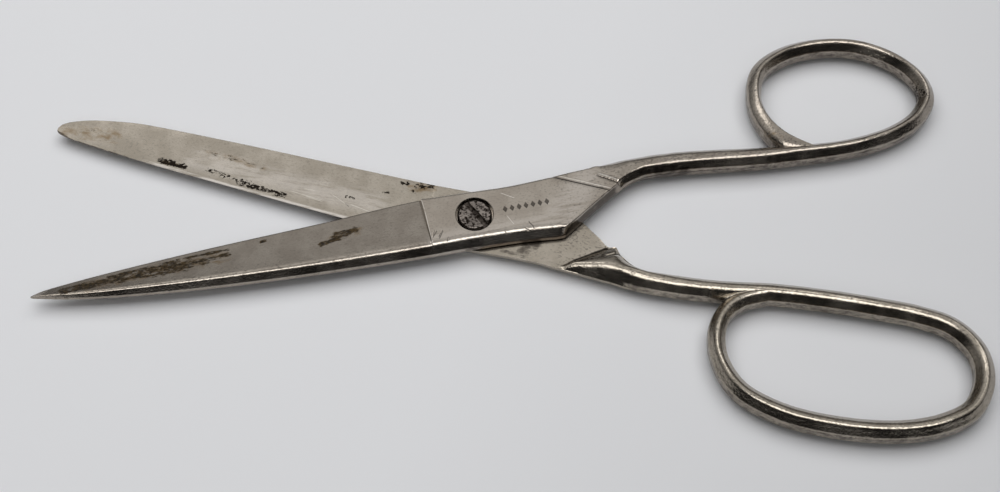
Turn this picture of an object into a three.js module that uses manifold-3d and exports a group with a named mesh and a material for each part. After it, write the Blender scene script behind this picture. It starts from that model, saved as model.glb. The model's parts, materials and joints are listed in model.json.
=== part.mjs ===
// Office scissors: two forged steel halves that turn on one slotted pivot screw.
//
// Both halves are described alike. A half lies closed, blade towards -X and bow towards +X, with
// the pivot axis at x = y = 0, its flat inner face on z = 0 and its blade plate above that face.
// Its cutting edge and its bow are on the +Y side. The lower half is such a half turned over about
// X. Each half is then swung open about the pivot axis, and the pair stands on z = 0. Shutting
// stops half a degree short of closed, where the necks meet.
import * as THREE from "three";
import { mergeVertices } from "three/addons/utils/BufferGeometryUtils.js";
import Module from "manifold-3d";

const wasm = await Module();
wasm.setup();

// Driving dimensions, mm and degrees.
const OPENING = 24; // angle between the halves as they lie, 0 when shut
const PLATE_TOP = 3.0; // outer face of the ricasso above the inner face
const FACE_GAP = 0.3; // play between the two inner faces
const ROD_HEIGHT = 6.0; // shanks and bows, centred on the plane between the halves
const FOOT_HEIGHT = 5.4; // bow where it comes back to the shank
const EDGE_LAND = 0.3; // thickness left at a cutting edge
const HEAD_DIAMETER = 6.8;
const HEAD_THICKNESS = 1.3;
const HEAD_DOME = 0.15;
const HEAD_PLAY = 0.3; // around and under the head
const SHOULDER_DIAMETER = 4.0; // turns in the upper half
const THREAD_DIAMETER = 3.6; // fixed in the lower half
const SCREW_CHAMFER = 0.25;
const BORE_PLAY = 0.3; // radial, in both bores
const SLOT_WIDTH = 1.0;
const SLOT_DEPTH = 0.8;
const SLOT_ANGLE = -54; // from +X
const ORIGIN = [6.4, -1.8]; // centre of the open pair's box, from the pivot axis

const INNER_FACE = FACE_GAP / 2;
const ROUND_SIDES = 32;
const WALL_SHARE = 0.35; // of a plate's height that stands upright before its outer face slopes
const RINGS_PER_SPAN = 3; // rings of a loft from one station to the next
const FOOT_STATIONS = 5; // rod stations in the stretch where a bow comes back to its shank

// A plate station: its two side rails on the inner face, low side first, then the heights of the
// outer face at the two sides and how far the outer face's edges stand in from the rails.
const plate = (lo, hi, topLo, topHi, insetLo, insetHi) => ({
  lo, hi, topLo, topHi, insetLo, insetHi, roundTop: 0, roundUnder: 0, under: 0, step: 0.5,
});
const blade = (lo, hi, top, inset) => plate(lo, hi, top, EDGE_LAND, inset, 0.25);
const ricasso = (lo, hi) => plate(lo, hi, PLATE_TOP, PLATE_TOP, 1.0, 1.0);
// Between ricasso and shank the outer face rounds over first, by roundTop. The underside stays
// flat from the low rail to step, a share of the width, and swells below it by under.
const neck = (lo, hi, roundTop, under, step, inset) => ({
  ...ricasso(lo, hi), insetLo: inset, roundTop, under, step,
});
const shankStart = (lo, hi) => ({ ...neck(lo, hi, 1, ROD_HEIGHT / 2, 0.06, 1), roundUnder: 1 });
// A rod station: centre, and width in plan.
const rod = (x, y, width, height = ROD_HEIGHT) => ({ centre: [x, y], width, height });

const POINTED_HALF = {
  body: [
    blade([-87.2, 1.0], [-87.2, 1.4], 0.6, 0.1),
    blade([-85.6, 0.5], [-85.3, 2.0], 0.9, 0.3),
    blade([-80, -0.8], [-80, 2.7], 1.4, 0.5),
    blade([-70, -2.4], [-70, 3.6], 2.0, 0.8),
    blade([-50, -4.4], [-50, 4.9], 2.6, 1.0),
    blade([-30, -5.6], [-30, 5.8], 2.8, 1.0),
    blade([-12, -6.2], [-13, 6.8], 2.95, 1.0),
    blade([-8.3, -6.3], [-10.2, 7.0], 2.95, 1.0),
    ricasso([-7.6, -6.3], [-9.4, 6.5]),
    ricasso([0, -6.4], [0, 6.1]),
    ricasso([8, -6.7], [8, 5.8]),
    ricasso([13, -7.1], [14, 6.0]),
    neck([16.5, -7.4], [18, 6.3], 0, 0, 0.97, 0.4),
    neck([20.4, -5.0], [21, 6.5], 0.1, 0.9, 0.87, 0.3),
    neck([24.6, -2.3], [25, 6.7], 0.35, 2.0, 0.53, 0.4),
    neck([28.6, 0.1], [28.8, 7.0], 0.75, 2.8, 0.06, 0.7),
    shankStart([32, 2.2], [32, 7.2]),
  ],
  rods: [
    rod(36, 4.9, 4.6),
    rod(42, 4.6, 4.6),
    rod(50, 3.6, 4.5),
    rod(58, 2.4, 4.3),
    rod(66, 1.5, 3.9),
    rod(76, 0.8, 3.6),
    rod(82, 1.1, 3.6),
    rod(88, 2.3, 3.6),
    rod(93, 4.8, 3.5),
    rod(96.2, 8.9, 3.5),
    rod(96, 13.8, 3.5),
    rod(92.5, 19.3, 3.5),
    rod(86, 23.9, 3.6),
    rod(78, 25.8, 3.6),
    rod(70, 25.1, 3.6),
    rod(64.3, 22, 3.4),
    rod(61.8, 16, 3.1, FOOT_HEIGHT),
    rod(62.6, 10, 3.2, FOOT_HEIGHT),
    rod(66, 4.9, 3.3, FOOT_HEIGHT),
    rod(71, 1.8, 3.2, FOOT_HEIGHT),
  ],
};

const ROUND_ENDED_HALF = {
  body: [
    blade([-87.7, -3.9], [-87.7, -3.3], 0.6, 0.1),
    blade([-86.7, -5.2], [-86.8, -2.5], 0.9, 0.3),
    blade([-84, -6.4], [-84.5, -1.9], 1.2, 0.4),
    blade([-80, -7.4], [-80, -1.2], 1.5, 0.5),
    blade([-70, -8.4], [-70, 0.1], 2.0, 0.8),
    blade([-50, -8.0], [-50, 2.2], 2.6, 1.0),
    blade([-30, -7.3], [-30, 4.2], 2.8, 1.0),
    blade([-12, -6.7], [-13, 5.6], 2.95, 1.0),
    blade([-8.3, -6.6], [-10.2, 5.8], 2.95, 1.0),
    ricasso([-7.6, -6.6], [-9.4, 6.1]),
    ricasso([0, -6.6], [0, 6.4]),
    ricasso([8, -6.8], [8, 6.3]),
    ricasso([13, -7.1], [14, 6.4]),
    neck([16.5, -7.4], [18, 6.8], 0, 0, 0.97, 0.4),
    neck([20.4, -4.7], [21, 7.1], 0.1, 0.9, 0.84, 0.3),
    neck([24.6, -1.7], [25, 7.5], 0.35, 2.0, 0.48, 0.4),
    neck([28.1, -0.4], [28.6, 7.9], 0.75, 2.8, 0.06, 0.7),
    shankStart([32, 3.0], [32, 8.3]),
  ],
  rods: [
    rod(36, 6.3, 4.4),
    rod(42, 6.2, 4.3),
    rod(50, 5.5, 4.2),
    rod(60, 4.0, 4.2),
    rod(70, 3.2, 4.2),
    rod(80, 2.9, 4.2),
    rod(88, 3.0, 4.2),
    rod(94.5, 4.3, 4.2),
    rod(99.4, 8.3, 4.1),
    rod(101.2, 14, 4.1),
    rod(99.6, 20.2, 4.1),
    rod(94.5, 24.5, 4.2),
    rod(86.5, 27.6, 4.2),
    rod(75, 29.1, 4.2),
    rod(64, 28.4, 4.1),
    rod(56, 25.2, 3.9),
    rod(51.4, 19, 3.6),
    rod(50.6, 12, 3.6, FOOT_HEIGHT),
    rod(53.4, 7.2, 3.7, FOOT_HEIGHT),
    rod(58.5, 4.6, 3.7, FOOT_HEIGHT),
  ],
};

const mix = THREE.MathUtils.lerp;
const rad = THREE.MathUtils.degToRad;

const CREST_SPANS = 6; // facets across the crest of a plate
const TOP_SPANS = CREST_SPANS + 4; // the crest's, and two at each side
const UNDER_SPANS = 10;
const STEP_SPAN = 5; // facets of the underside that lie beyond the step

// The outer face of a section, from the low rail to the high one, as [across 0..1, height].
function plateTop(s, width) {
  const wall = Math.min(0.1, s.insetLo / 2) / width;
  const crestLo = s.insetLo / width;
  const crestHi = 1 - s.insetHi / width;
  const points = [[0, INNER_FACE], [wall, mix(INNER_FACE, s.topLo, WALL_SHARE)]];
  for (let i = 0; i <= CREST_SPANS; i++) {
    const across = i / CREST_SPANS;
    points.push([mix(crestLo, crestHi, across), mix(s.topLo, s.topHi, across)]);
  }
  points.push([1 - wall / 2, mix(INNER_FACE, s.topHi, WALL_SHARE)], [1, INNER_FACE]);
  return points;
}

// Point i of a half ellipse over the section's width, as [across 0..1, height].
function rodArc(i, spans, halfHeight) {
  const turn = (Math.PI * i) / spans;
  return [0.5 - 0.5 * Math.cos(turn), halfHeight * Math.sin(turn)];
}

// The underside of a section, from the high rail back to the low one, without its two ends.
function plateUnder(s, i) {
  if (i >= STEP_SPAN) {
    const along = (i - STEP_SPAN) / (UNDER_SPANS - STEP_SPAN);
    return [mix(s.step, 0, along), INNER_FACE];
  }
  const [across, swell] = rodArc(i, STEP_SPAN, INNER_FACE + s.under);
  return [mix(1, s.step, across), INNER_FACE - (s.under > 0 ? swell : 0)];
}

// One closed ring of points for a station that lies between its two rails.
function ringOf(s) {
  const lo = new THREE.Vector2(...s.lo);
  const hi = new THREE.Vector2(...s.hi);
  const width = lo.distanceTo(hi);
  const halfHeight = s.height / 2;
  const top = plateTop(s, width).map(([across, z], i) => {
    const [rodAcross, rodZ] = rodArc(i, TOP_SPANS, halfHeight);
    return [mix(across, rodAcross, s.roundTop), mix(z, rodZ, s.roundTop)];
  });
  const under = [];
  for (let i = 1; i < UNDER_SPANS; i++) {
    const [across, z] = plateUnder(s, i);
    const [rodAcross, rodZ] = rodArc(i, UNDER_SPANS, halfHeight);
    under.push([mix(across, 1 - rodAcross, s.roundUnder), mix(z, -rodZ, s.roundUnder)]);
  }
  return [...top, ...under].map(([across, z]) => {
    const at = lo.clone().lerp(hi, across);
    return [at.x, at.y, z];
  });
}

// Smooth curve through values that are given at stations 0, 1, 2, ...
function through(values) {
  const curve = new THREE.CatmullRomCurve3(
    values.map(([x, y]) => new THREE.Vector3(x, y, 0)), false, "centripetal",
  );
  return (station) => curve.getPoint(station / (values.length - 1));
}

// Places along stations 0, 1, 2, ... where a ring stands.
function ringPlaces(count) {
  const spans = (count - 1) * RINGS_PER_SPAN;
  return Array.from({ length: spans + 1 }, (_, i) => i / RINGS_PER_SPAN);
}

const BLENDED = [
  "topLo", "topHi", "insetLo", "insetHi", "roundTop", "roundUnder", "under", "step",
];

// Blade, ricasso and neck, as rings from the tip to where the shank is a plain rod.
function bodyRings(stations) {
  const lo = through(stations.map((s) => s.lo));
  const hi = through(stations.map((s) => s.hi));
  return ringPlaces(stations.length).map((t) => {
    const from = stations[Math.floor(t)];
    const to = stations[Math.ceil(t)];
    const part = t - Math.floor(t);
    const s = { height: ROD_HEIGHT };
    for (const key of BLENDED) s[key] = mix(from[key], to[key], part);
    const a = lo(t);
    const b = hi(t);
    return ringOf({ ...s, lo: [a.x, a.y], hi: [b.x, b.y] });
  });
}

// Shank and bow, as rings across a path in the plane.
function rodRings(rods) {
  const path = through(rods.map((r) => r.centre));
  const last = rods.length - 1;
  const nearby = 0.02;
  return ringPlaces(rods.length).map((t) => {
    const at = path(t);
    const ahead = path(Math.min(t + nearby, last));
    const along = ahead.sub(path(Math.max(t - nearby, 0))).normalize();
    const from = rods[Math.floor(t)];
    const to = rods[Math.ceil(t)];
    const half = mix(from.width, to.width, t - Math.floor(t)) / 2;
    const height = mix(from.height, to.height, t - Math.floor(t));
    const lo = [at.x + along.y * half, at.y - along.x * half];
    const hi = [at.x - along.y * half, at.y + along.x * half];
    return ringOf({ ...shankStart(lo, hi), height });
  });
}

// A closed solid that joins one ring to the next, with a fan of faces from the middle of each end.
function loft(rings) {
  const sides = rings[0].length;
  const positions = rings.flat(2);
  const index = [];
  for (let r = 0; r + 1 < rings.length; r++)
    for (let i = 0; i < sides; i++) {
      const a = r * sides + i;
      const b = r * sides + ((i + 1) % sides);
      index.push(a, a + sides, b, b, a + sides, b + sides);
    }
  for (const r of [0, rings.length - 1]) {
    const middle = positions.length / 3;
    for (const axis of [0, 1, 2])
      positions.push(rings[r].reduce((sum, point) => sum + point[axis], 0) / sides);
    for (let i = 0; i < sides; i++) {
      const edge = [r * sides + i, r * sides + ((i + 1) % sides)];
      index.push(middle, ...(r === 0 ? edge : edge.reverse()));
    }
  }
  const geometry = new THREE.BufferGeometry();
  geometry.setAttribute("position", new THREE.Float32BufferAttribute(positions, 3));
  geometry.setIndex(index);
  return geometry;
}

function solidOf(geometry) {
  const bare = geometry.clone();
  bare.deleteAttribute("normal");
  bare.deleteAttribute("uv");
  const merged = mergeVertices(bare, 1e-4);
  const mesh = new wasm.Mesh({
    numProp: 3,
    vertProperties: merged.attributes.position.array,
    triVerts: new Uint32Array(merged.index.array),
  });
  return new wasm.Manifold(mesh);
}

function geometryOf(solid) {
  const { vertProperties, triVerts } = solid.getMesh();
  const geometry = new THREE.BufferGeometry();
  geometry.setAttribute("position", new THREE.Float32BufferAttribute(vertProperties, 3));
  geometry.setIndex([...triVerts]);
  geometry.computeVertexNormals();
  return geometry;
}

// A solid of revolution about Z from [radius, z] points that start and end on the axis.
function turned(profile) {
  const geometry = new THREE.LatheGeometry(
    profile.map(([r, z]) => new THREE.Vector2(r, z)), ROUND_SIDES,
  );
  return geometry.rotateX(Math.PI / 2);
}

function cylinder(diameter, from, to) {
  return turned([[0, from], [diameter / 2, from], [diameter / 2, to], [0, to]]);
}

// One half without its bore. Its bow comes back to the shank, so the last stretch is a solid of
// its own that starts on the ring where the first one ends, and the two are joined.
function halfSolid({ body, rods }) {
  const handle = rodRings(rods);
  const footStart = handle.length - 1 - FOOT_STATIONS * RINGS_PER_SPAN;
  const main = solidOf(loft([...bodyRings(body), ...handle.slice(0, footStart + 1)]));
  const foot = solidOf(loft(handle.slice(footStart)));
  return main.add(foot);
}

function upperHalf() {
  const seat = PLATE_TOP - HEAD_THICKNESS - HEAD_PLAY;
  const bore = cylinder(SHOULDER_DIAMETER + 2 * BORE_PLAY, -1, PLATE_TOP + 1);
  const counterbore = cylinder(HEAD_DIAMETER + 2 * HEAD_PLAY, seat, PLATE_TOP + 1);
  return halfSolid(POINTED_HALF).subtract(solidOf(bore)).subtract(solidOf(counterbore));
}

function lowerHalf() {
  const bore = cylinder(THREAD_DIAMETER + 2 * BORE_PLAY, -1, PLATE_TOP + 1);
  return halfSolid(ROUND_ENDED_HALF).subtract(solidOf(bore));
}

// Pivot screw: head up, end level with the lower half's outer face.
function pivotScrew() {
  const head = HEAD_DIAMETER / 2;
  const shoulder = SHOULDER_DIAMETER / 2;
  const thread = THREAD_DIAMETER / 2;
  const headTop = PLATE_TOP;
  const headBottom = PLATE_TOP - HEAD_THICKNESS;
  const body = turned([
    [0, -PLATE_TOP],
    [thread - SCREW_CHAMFER, -PLATE_TOP],
    [thread, SCREW_CHAMFER - PLATE_TOP],
    [thread, -INNER_FACE],
    [shoulder, INNER_FACE],
    [shoulder, headBottom],
    [head, headBottom],
    [head, headTop - SCREW_CHAMFER],
    [head - SCREW_CHAMFER, headTop],
    [head * 0.5, headTop + HEAD_DOME * 0.8],
    [0, headTop + HEAD_DOME],
  ]);
  const slot = new THREE.BoxGeometry(HEAD_DIAMETER + 1, SLOT_WIDTH, 2 * SLOT_DEPTH);
  slot.translate(0, 0, headTop + HEAD_DOME);
  slot.rotateZ(rad(SLOT_ANGLE));
  return solidOf(body).subtract(solidOf(slot));
}

const nickelSteel = (name, colour, roughness) =>
  new THREE.MeshStandardMaterial({ name, color: colour, roughness, metalness: 1 });

function mesh(name, solid, material) {
  const made = new THREE.Mesh(geometryOf(solid), material);
  made.name = name;
  return made;
}

const scissors = new THREE.Group();
scissors.position.set(-ORIGIN[0], -ORIGIN[1], PLATE_TOP);

const upper = new THREE.Group();
upper.rotation.z = rad(OPENING / 2);
upper.add(mesh("front_half", upperHalf(), nickelSteel("nickel", 0xa39e97, 0.35)));

const lower = new THREE.Group();
lower.rotation.set(Math.PI, 0, rad(-OPENING / 2), "ZYX");
lower.add(mesh("back_half", lowerHalf(), nickelSteel("nickel", 0xa39e97, 0.35)));

scissors.add(upper, lower);
scissors.add(mesh("pivot_screw", pivotScrew(), nickelSteel("screw", 0x6f6b68, 0.45)));

const part = new THREE.Group();
part.add(scissors);
export default part;
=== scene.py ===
"""Worn nickel-plated office scissors: two forged halves and a pivot screw, around the CAD frame.

Each half is described as the CAD describes it, in mm: closed, blade towards -X and bow towards +X,
pivot axis at x = y = 0, flat inner face near z = 0 with the blade plate above it, cutting edge and
bow on the +Y side. The lower half is then turned over about X, and both are swung open.
"""
import json
import math
import bmesh
import bpy
import numpy as np
from mathutils import Matrix, Vector, noise

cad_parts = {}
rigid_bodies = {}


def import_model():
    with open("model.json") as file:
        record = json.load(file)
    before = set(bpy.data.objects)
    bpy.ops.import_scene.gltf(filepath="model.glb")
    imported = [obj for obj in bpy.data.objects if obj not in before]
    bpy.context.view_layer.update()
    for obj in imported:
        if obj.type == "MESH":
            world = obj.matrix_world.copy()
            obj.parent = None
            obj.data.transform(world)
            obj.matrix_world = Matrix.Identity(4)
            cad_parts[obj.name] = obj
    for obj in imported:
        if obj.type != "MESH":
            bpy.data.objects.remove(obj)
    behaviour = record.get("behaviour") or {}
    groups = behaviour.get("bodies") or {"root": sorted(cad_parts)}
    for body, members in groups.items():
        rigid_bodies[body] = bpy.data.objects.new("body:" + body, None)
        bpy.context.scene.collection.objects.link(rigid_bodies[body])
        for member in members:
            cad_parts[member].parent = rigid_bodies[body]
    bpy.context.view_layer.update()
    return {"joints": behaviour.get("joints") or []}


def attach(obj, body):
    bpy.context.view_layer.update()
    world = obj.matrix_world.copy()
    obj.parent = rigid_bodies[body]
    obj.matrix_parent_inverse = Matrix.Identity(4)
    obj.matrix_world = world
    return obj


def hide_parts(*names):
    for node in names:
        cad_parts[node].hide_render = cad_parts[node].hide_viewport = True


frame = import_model()

MM = 0.001
OPENING = 24.0  # degrees between the halves at rest
PLATE_TOP = 3.0  # outer face of the ricasso above the plane between the halves
INNER_FACE = 0.15  # inner face above that plane
ROD_HALF_HEIGHT = 2.99
FOOT_HALF_HEIGHT = 2.85  # where the bow comes back to the shank
ROD_FROM = 30.0  # x from which the rods' round section shows
EDGE_LAND = 0.3  # thickness left at a cutting edge
HEAD_RADIUS = 3.4
HEAD_THICKNESS = 1.3
HEAD_DOME = 0.14
HEAD_RIM = 0.45  # width of the head's rounded rim
COUNTERBORE_RADIUS = 3.7
SEAT_PLAY = 0.3  # under the head
SHOULDER_RADIUS = 2.0
SHOULDER_PLAY = 0.1
THREAD_RADIUS = 1.8
THREAD_PLAY = 0.08
THREAD_DEPTH = 0.25
THREAD_PITCH = 0.6
THREAD_TURNS = 4
SLOT_WIDTH = 1.15
SLOT_DEPTH = 0.8
SLOT_ANGLE = -51.0  # degrees from +X
SLOT_OFFSET = 0.25  # of the slot's middle from the head's middle

PIVOT = Vector(frame["joints"][0]["pos_m"])
LOWER_BODY = frame["joints"][0]["parent"]
UPPER_BODY = frame["joints"][0]["child"]

BODY_STEP = 0.4  # mm between rings of the blade, ricasso and neck
ROD_STEP = 0.6  # mm between rings of the shank and bow


# --- Section stations ---

def plate(lo, hi, top_lo, top_hi, inset_lo, inset_hi, **more):
    """A section between two side rails.

    top_lo and top_hi are the outer face's heights at its two edges, inset_lo and inset_hi how far
    those edges stand in from the rails. round_top and round_under say how far each side has turned
    into a rod's section. under is the underside's swell, which ends at step, a share of the width.
    """
    station = dict(
        lo=lo, hi=hi, top_lo=top_lo, top_hi=top_hi, inset_lo=inset_lo, inset_hi=inset_hi,
        round_top=0.0, round_under=0.0, under=0.0, step=0.5, hollow=0.0,
    )
    station.update(more)
    return station


def blade(lo, hi, top, inset, hollow=0.12):
    return plate(lo, hi, top, EDGE_LAND, inset, 0.25, hollow=hollow)


def ricasso(lo, hi, inset=1.55):
    return plate(lo, hi, PLATE_TOP, PLATE_TOP, inset, 1.0)


def neck(lo, hi, round_top, under, step, inset):
    """Between ricasso and shank the outer face rounds over first, and the underside swells."""
    return plate(
        lo, hi, PLATE_TOP, PLATE_TOP, inset, 1.0, round_top=round_top, under=under, step=step,
    )


def shank(lo, hi, round_under):
    """A rod's section on its outer side, and so far on its underside only by round_under."""
    return plate(
        lo, hi, PLATE_TOP, PLATE_TOP, 1.0, 1.0,
        round_top=1.0, round_under=round_under, under=ROD_HALF_HEIGHT, step=0.06,
    )


POINTED_BODY = [
    blade((-87.2, 1.0), (-87.2, 1.4), 0.6, 0.08, 0.0),
    blade((-86.6, 0.75), (-86.5, 1.65), 0.75, 0.18, 0.0),
    blade((-85.6, 0.5), (-85.3, 2.0), 0.9, 0.3, 0.0),
    blade((-80, -0.8), (-80, 2.7), 1.4, 0.65, 0.03),
    blade((-70, -2.4), (-70, 3.6), 2.0, 0.95, 0.08),
    blade((-50, -4.4), (-50, 4.9), 2.6, 1.25),
    blade((-30, -5.6), (-30, 5.8), 2.8, 1.45),
    blade((-13, -6.2), (-13.5, 6.8), 2.95, 1.55),
    blade((-9.4, -6.27), (-9.95, 6.9), 2.95, 1.55),
    ricasso((-9.2, -6.3), (-9.75, 6.6)),
    ricasso((-5, -6.3), (-5, 6.3)),
    ricasso((0, -6.4), (0, 6.1)),
    ricasso((8, -6.7), (8, 5.8)),
    ricasso((13, -7.15), (14, 6.0)),
    ricasso((15.6, -7.4), (16, 6.1)),
    ricasso((16.6, -7.35), (17.4, 6.25), 1.1),
    neck((17.6, -6.8), (18.6, 6.35), 0.0, 0.1, 0.95, 0.8),
    neck((20.4, -5.0), (21, 6.5), 0.0, 0.8, 0.87, 0.65),
    neck((24.6, -2.3), (24.0, 6.65), 0.0, 1.7, 0.53, 0.6),
    neck((29.2, 0.42), (25.2, 6.75), 0.1, 2.3, 0.12, 0.55),
    neck((30.1, 0.9), (26.7, 6.85), 0.75, 2.5, 0.04, 0.6),
    shank((31.5, 1.55), (29.4, 7.02), 0.15),
    shank((33.4, 2.15), (32, 7.2), 0.3),
]
POINTED_RODS = [
    (36, 4.9, 4.6), (42, 4.6, 4.6), (50, 3.6, 4.5), (58, 2.4, 4.3), (66, 1.5, 3.9),
    (76, 0.8, 3.6), (82, 1.1, 3.6), (88, 2.3, 3.6), (93, 4.8, 3.5), (96.2, 8.9, 3.5),
    (96, 13.8, 3.5), (92.5, 19.3, 3.5), (86, 23.9, 3.6), (78, 25.8, 3.6), (70, 25.1, 3.6),
    (64.3, 22, 3.4), (61.7, 16, 3.2), (61.9, 10.5, 3.6), (64.4, 5.3, 4.2), (69.6, 1.1, 2.6),
]
ROUND_ENDED_BODY = [
    blade((-87.7, -3.9), (-87.7, -3.3), 0.6, 0.08, 0.0),
    blade((-87.4, -4.5), (-87.4, -2.9), 0.75, 0.18, 0.0),
    blade((-86.7, -5.2), (-86.8, -2.5), 0.9, 0.3, 0.0),
    blade((-84, -6.4), (-84.5, -1.9), 1.2, 0.4, 0.02),
    blade((-80, -7.4), (-80, -1.2), 1.5, 0.65, 0.06),
    blade((-70, -8.4), (-70, 0.1), 2.0, 0.95, 0.1),
    blade((-50, -8.0), (-50, 2.2), 2.6, 1.25),
    blade((-30, -7.3), (-30, 4.2), 2.8, 1.45),
    blade((-13, -6.7), (-13.5, 5.6), 2.95, 1.55),
    blade((-9.6, -6.6), (-10.3, 5.8), 2.95, 1.55),
    ricasso((-9.1, -6.6), (-9.8, 6.1)),
    ricasso((-5, -6.6), (-5, 6.2)),
    ricasso((0, -6.6), (0, 6.4)),
    ricasso((8, -6.8), (8, 6.3)),
    ricasso((13, -7.15), (14, 6.4)),
    ricasso((15.6, -7.4), (16, 6.6)),
    ricasso((16.6, -7.3), (17.4, 6.8), 1.1),
    neck((17.6, -6.7), (18.6, 6.9), 0.0, 0.1, 0.93, 0.6),
    neck((20.4, -4.7), (21, 7.1), 0.1, 1.25, 0.77, 0.3),
    neck((24.6, -1.7), (25, 7.5), 0.35, 2.2, 0.37, 0.4),
    neck((27.0, 0.05), (27.2, 7.75), 0.6, 2.7, 0.06, 0.5),
    neck((28.2, -0.25), (28.4, 7.85), 0.75, 2.8, 0.04, 0.6),
    neck((29.2, 0.95), (29.6, 8.0), 0.85, 2.85, 0.02, 0.7),
    shank((32, 3.0), (32, 8.3), 0.25),
]
ROUND_ENDED_RODS = [
    (36, 6.3, 4.4), (42, 6.2, 4.3), (50, 5.5, 4.2), (60, 4.0, 4.2), (70, 3.2, 4.2),
    (80, 2.9, 4.2), (88, 3.0, 4.2), (94.5, 4.3, 4.2), (99.4, 8.3, 4.1), (101.2, 14, 4.1),
    (99.6, 20.2, 4.1), (94.5, 24.5, 4.2), (86.5, 27.6, 4.17), (75, 29.1, 4.12), (64, 28.4, 4.1),
    (56, 25.2, 3.9), (51.4, 19, 3.6), (50.6, 12, 3.6), (53.4, 7.2, 3.8), (59.5, 4.2, 3.4),
]
# How each rod's outer flank differs, by station number: 1 is deeper, -1 spread flat.
POINTED_LEAN = [(0, 0.0), (13, 0.0), (15, -0.5), (17, -1.0), (19, -1.0)]
ROUND_ENDED_LEAN = [(0, 0.0), (8, 0.0), (10.5, 1.0), (15.8, 1.0), (17.3, 0.2), (19, 0.0)]
FOOT_STATIONS = 4  # rod stations of lesser height, where the bow comes back to the shank


# --- Curves ---

def mix(a, b, share):
    return a + (b - a) * share


def smoothstep(a, b, x):
    t = np.clip((x - a) / (b - a), 0.0, 1.0)
    return t * t * (3.0 - 2.0 * t)


def monotone(at, values):
    """Smooth interpolation through values at the places at, which never overshoots them."""
    at = np.asarray(at, float)
    values = np.asarray(values, float)
    gaps = np.diff(at)
    slopes = np.diff(values) / gaps
    tangents = np.zeros(len(at))
    tangents[0] = slopes[0]
    tangents[-1] = slopes[-1]
    for i in range(1, len(at) - 1):
        if slopes[i - 1] * slopes[i] > 0.0:
            w1 = 2.0 * gaps[i] + gaps[i - 1]
            w2 = gaps[i] + 2.0 * gaps[i - 1]
            tangents[i] = (w1 + w2) / (w1 / slopes[i - 1] + w2 / slopes[i])

    def value(x):
        k = np.clip(np.searchsorted(at, x, side="right") - 1, 0, len(gaps) - 1)
        u = (x - at[k]) / gaps[k]
        a = (1.0 + 2.0 * u) * (1.0 - u) ** 2 * values[k] + u * u * (3.0 - 2.0 * u) * values[k + 1]
        b = u * (1.0 - u) ** 2 * tangents[k] + u * u * (u - 1.0) * tangents[k + 1]
        return a + b * gaps[k]

    return value


def path_through(points):
    """Centripetal curve through plane points; its parameter is the station number."""
    p = np.asarray(points, float)
    p = np.vstack([2.0 * p[0] - p[1], p, 2.0 * p[-1] - p[-2]])

    def at(t):
        t = np.asarray(t, float)
        k = np.clip(np.floor(t).astype(int), 0, len(points) - 2)
        u = (t - k)[:, None]
        p0, p1, p2, p3 = p[k], p[k + 1], p[k + 2], p[k + 3]
        pairs = ((p0, p1), (p1, p2), (p2, p3))
        d0, d1, d2 = (np.sqrt(np.linalg.norm(b - a, axis=1))[:, None] for a, b in pairs)
        m1 = ((p1 - p0) / d0 - (p2 - p0) / (d0 + d1) + (p2 - p1) / d1) * d1
        m2 = ((p2 - p1) / d1 - (p3 - p1) / (d1 + d2) + (p3 - p2) / d2) * d1
        c2 = -3.0 * p1 + 3.0 * p2 - 2.0 * m1 - m2
        c3 = 2.0 * p1 - 2.0 * p2 + m1 + m2
        return p1 + m1 * u + c2 * u ** 2 + c3 * u ** 3

    return at


def smooth_polyline(points, per_span):
    """Points of a smooth curve through plane points."""
    at = path_through(points)
    return at(np.linspace(0.0, len(points) - 1.0, (len(points) - 1) * per_span + 1))


# --- Sections ---

EDGE_SAMPLES = (3, 6, 26, 5, 3, 44)  # points along the section's edges, corner to corner
UNDER_EDGE = 5  # the last of them is the underside
CORNER_SAMPLES = 5
TOP_COUNT = sum(EDGE_SAMPLES[:UNDER_EDGE]) + 6 * CORNER_SAMPLES
RING_COUNT = TOP_COUNT + EDGE_SAMPLES[UNDER_EDGE]
UNDER_SPREAD = 1.35  # gathers the underside's points towards the high rail


def plate_section(s, width):
    """Section of a plate from its low rail over the outer face and back along the inner face."""
    wall = min(0.1, s["inset_lo"] / 2.0)
    wall_lo = mix(INNER_FACE, s["top_lo"], 0.3)
    wall_hi = mix(INNER_FACE, s["top_hi"], 0.35)
    corners = np.array([
        (0.0, INNER_FACE), (wall, wall_lo), (s["inset_lo"], s["top_lo"]),
        (width - s["inset_hi"], s["top_hi"]), (width - wall / 2.0, wall_hi), (width, INNER_FACE),
    ])
    crest = 0.5 * s["inset_lo"]
    radii = (0.06, 0.12, crest, min(crest, 0.12 + 0.1 * s["top_hi"]), 0.12, 0.04)
    count = len(corners)
    rounded = []
    for i in range(count):
        here = corners[i]
        before = corners[i - 1] - here
        after = corners[(i + 1) % count] - here
        lengths = (np.linalg.norm(before), np.linalg.norm(after))
        reach = [min(radii[i], 0.4 * length) / length for length in lengths]
        start = here + before * reach[0]
        end = here + after * reach[1]
        u = np.linspace(0.0, 1.0, CORNER_SAMPLES)[:, None]
        rounded.append((1 - u) ** 2 * start + 2 * u * (1 - u) * here + u ** 2 * end)
    points = []
    for i in range(count):
        points.append(rounded[i])
        following = rounded[(i + 1) % count][0]
        u = np.linspace(0.0, 1.0, EDGE_SAMPLES[i] + 2)[1:-1, None]
        if i == UNDER_EDGE:
            u = u ** UNDER_SPREAD
        points.append(mix(rounded[i][-1], following, u))
    return np.vstack(points)


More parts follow.
